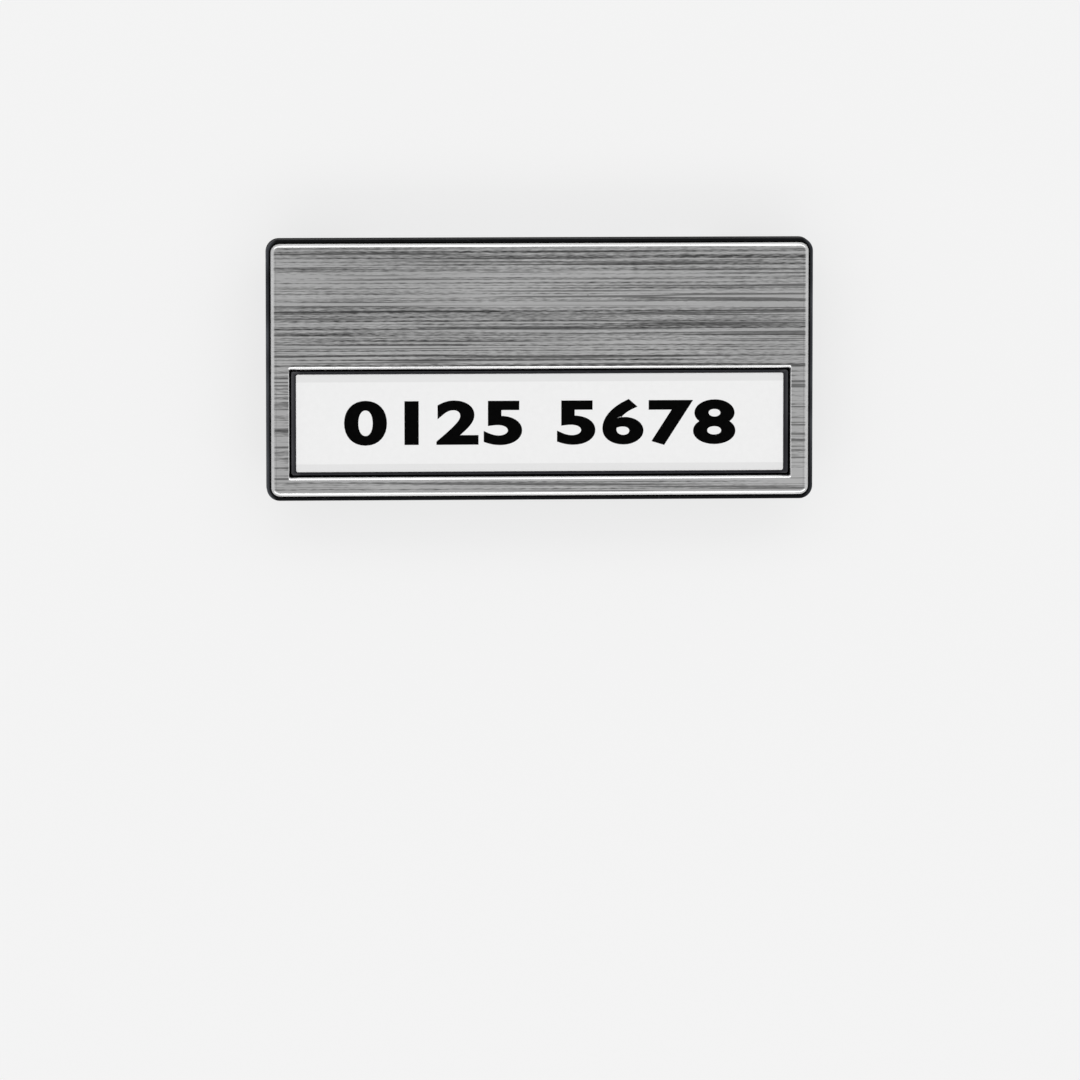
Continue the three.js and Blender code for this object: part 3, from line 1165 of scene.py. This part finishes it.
bpy.ops.object.select_all(action="DESELECT")
bpy.ops.mesh.primitive_circle_add(vertices=96, radius=floor_radius, fill_type="NGON", location=(0, 0, 0))
floor = bpy.context.active_object
floor.name = "floor"
floor_paint, tree, shader = start_material("pale floor")[:3]
shader.inputs["Base Color"].default_value = (*grey(0.2), 1)
shader.inputs["Emission Color"].default_value = (*grey(1), 1)
shader.inputs["Emission Strength"].default_value = floor_glow
shader.inputs["Roughness"].default_value = 0.9
shader.inputs["Specular IOR Level"].default_value = 0.1
clear = add_node(tree, "BsdfTransparent")
from_below = add_node(tree, "NewGeometry").outputs["Backfacing"]
path = add_node(tree, "LightPath").outputs
open_share = work_out(tree, "MAXIMUM", from_below, path["Is Glossy Ray"])
both = add_node(tree, "MixShader", {0: open_share, 1: shader.outputs[0], 2: clear.outputs[0]})
surface = next(node for node in tree.nodes if node.type == "OUTPUT_MATERIAL")
tree.links.new(both.outputs[0], surface.inputs["Surface"])
wear_with([floor], floor_paint)

# %% Sky
sky_around = 0.76
sky_overhead = 0.43
backdrop_level = 0.9

scene = bpy.context.scene
world = bpy.data.worlds.new("soft studio")
scene.world = world
world.use_nodes = True
tree = world.node_tree
tree.nodes.clear()
direction = add_node(tree, "TexCoord").outputs["Generated"]
height = work_out(tree, "ABSOLUTE", add_node(tree, "SeparateXYZ", {"Vector": direction}).outputs["Z"])
sky_level = spread(tree, height, 0.8, 0.93, sky_around, sky_overhead)
seen = add_node(tree, "LightPath").outputs["Is Camera Ray"]
seen_directly = work_out(tree, "MULTIPLY", seen, backdrop_level)
mirrored = work_out(tree, "MULTIPLY", work_out(tree, "SUBTRACT", 1.0, seen), sky_level)
level = work_out(tree, "ADD", seen_directly, mirrored)
light = add_node(tree, "Background", {"Color": (*grey(1), 1), "Strength": level})
add_node(tree, "OutputWorld", {"Surface": light.outputs[0]})


# %% Soft lights
light_offset = 0.42
light_size = (1.2, 0.22)
front_power = 1.05
back_power = 1.5


def soft_light(name, place, power):
    bpy.ops.object.select_all(action="DESELECT")
    bpy.ops.object.light_add(type="AREA", location=place)
    lamp = bpy.context.active_object
    lamp.name = name
    lamp.data.shape = "RECTANGLE"
    lamp.data.size = light_size[0]
    lamp.data.size_y = light_size[1]
    lamp.data.energy = power
    lamp.rotation_mode = "QUATERNION"
    lamp.rotation_quaternion = (-Vector(place)).to_track_quat("-Z", "Y")
    lamp.visible_camera = False
    print(name, "of", power, "W")


for side, side_name in ((1, "upper"), (-1, "lower")):
    y = side * light_offset
    soft_light(f"{side_name} side light", (0, y, light_offset), front_power)
    soft_light(f"{side_name} side light for the back", (0, y, -light_offset), back_power)

# %% [markdown]
# ## Camera
# The photograph looks straight down on the face from a distance, tipped a few degrees towards the badge's
# upper edge and its left side. A long lens a metre away gives that nearly flat perspective.

# %% Camera
picture = 1080
pixels_per_mm = 8.29
frame_width = picture / pixels_per_mm * mm
sensor = 36
camera_distance = 1.0
tip_up = math.radians(6)
tip_left = math.radians(3)
badge_spot = (540.0, 369.4)

bpy.ops.object.select_all(action="DESELECT")
bpy.ops.object.camera_add()
camera = bpy.context.active_object
camera.data.sensor_width = sensor
camera.data.lens = sensor * camera_distance / frame_width
camera.data.clip_start = 0.01
camera.data.clip_end = 100
away = Vector((-math.sin(tip_left), math.sin(tip_up), 1)).normalized()
right = Vector((0, 1, 0)).cross(away).normalized()
up = away.cross(right)
metres_per_pixel = frame_width / picture
shift_right = (picture / 2 - badge_spot[0]) * metres_per_pixel
shift_up = (badge_spot[1] - picture / 2) * metres_per_pixel
face_middle = Vector((0, 0, case_high.z))
aim = face_middle + right * shift_right + up * shift_up
camera.location = aim + away * camera_distance
camera.rotation_mode = "QUATERNION"
camera.rotation_quaternion = Matrix((right, up, away)).transposed().to_quaternion()
scene.camera = camera
scene.view_settings.view_transform = "Standard"
print("lens", round(camera.data.lens, 1), "mm")
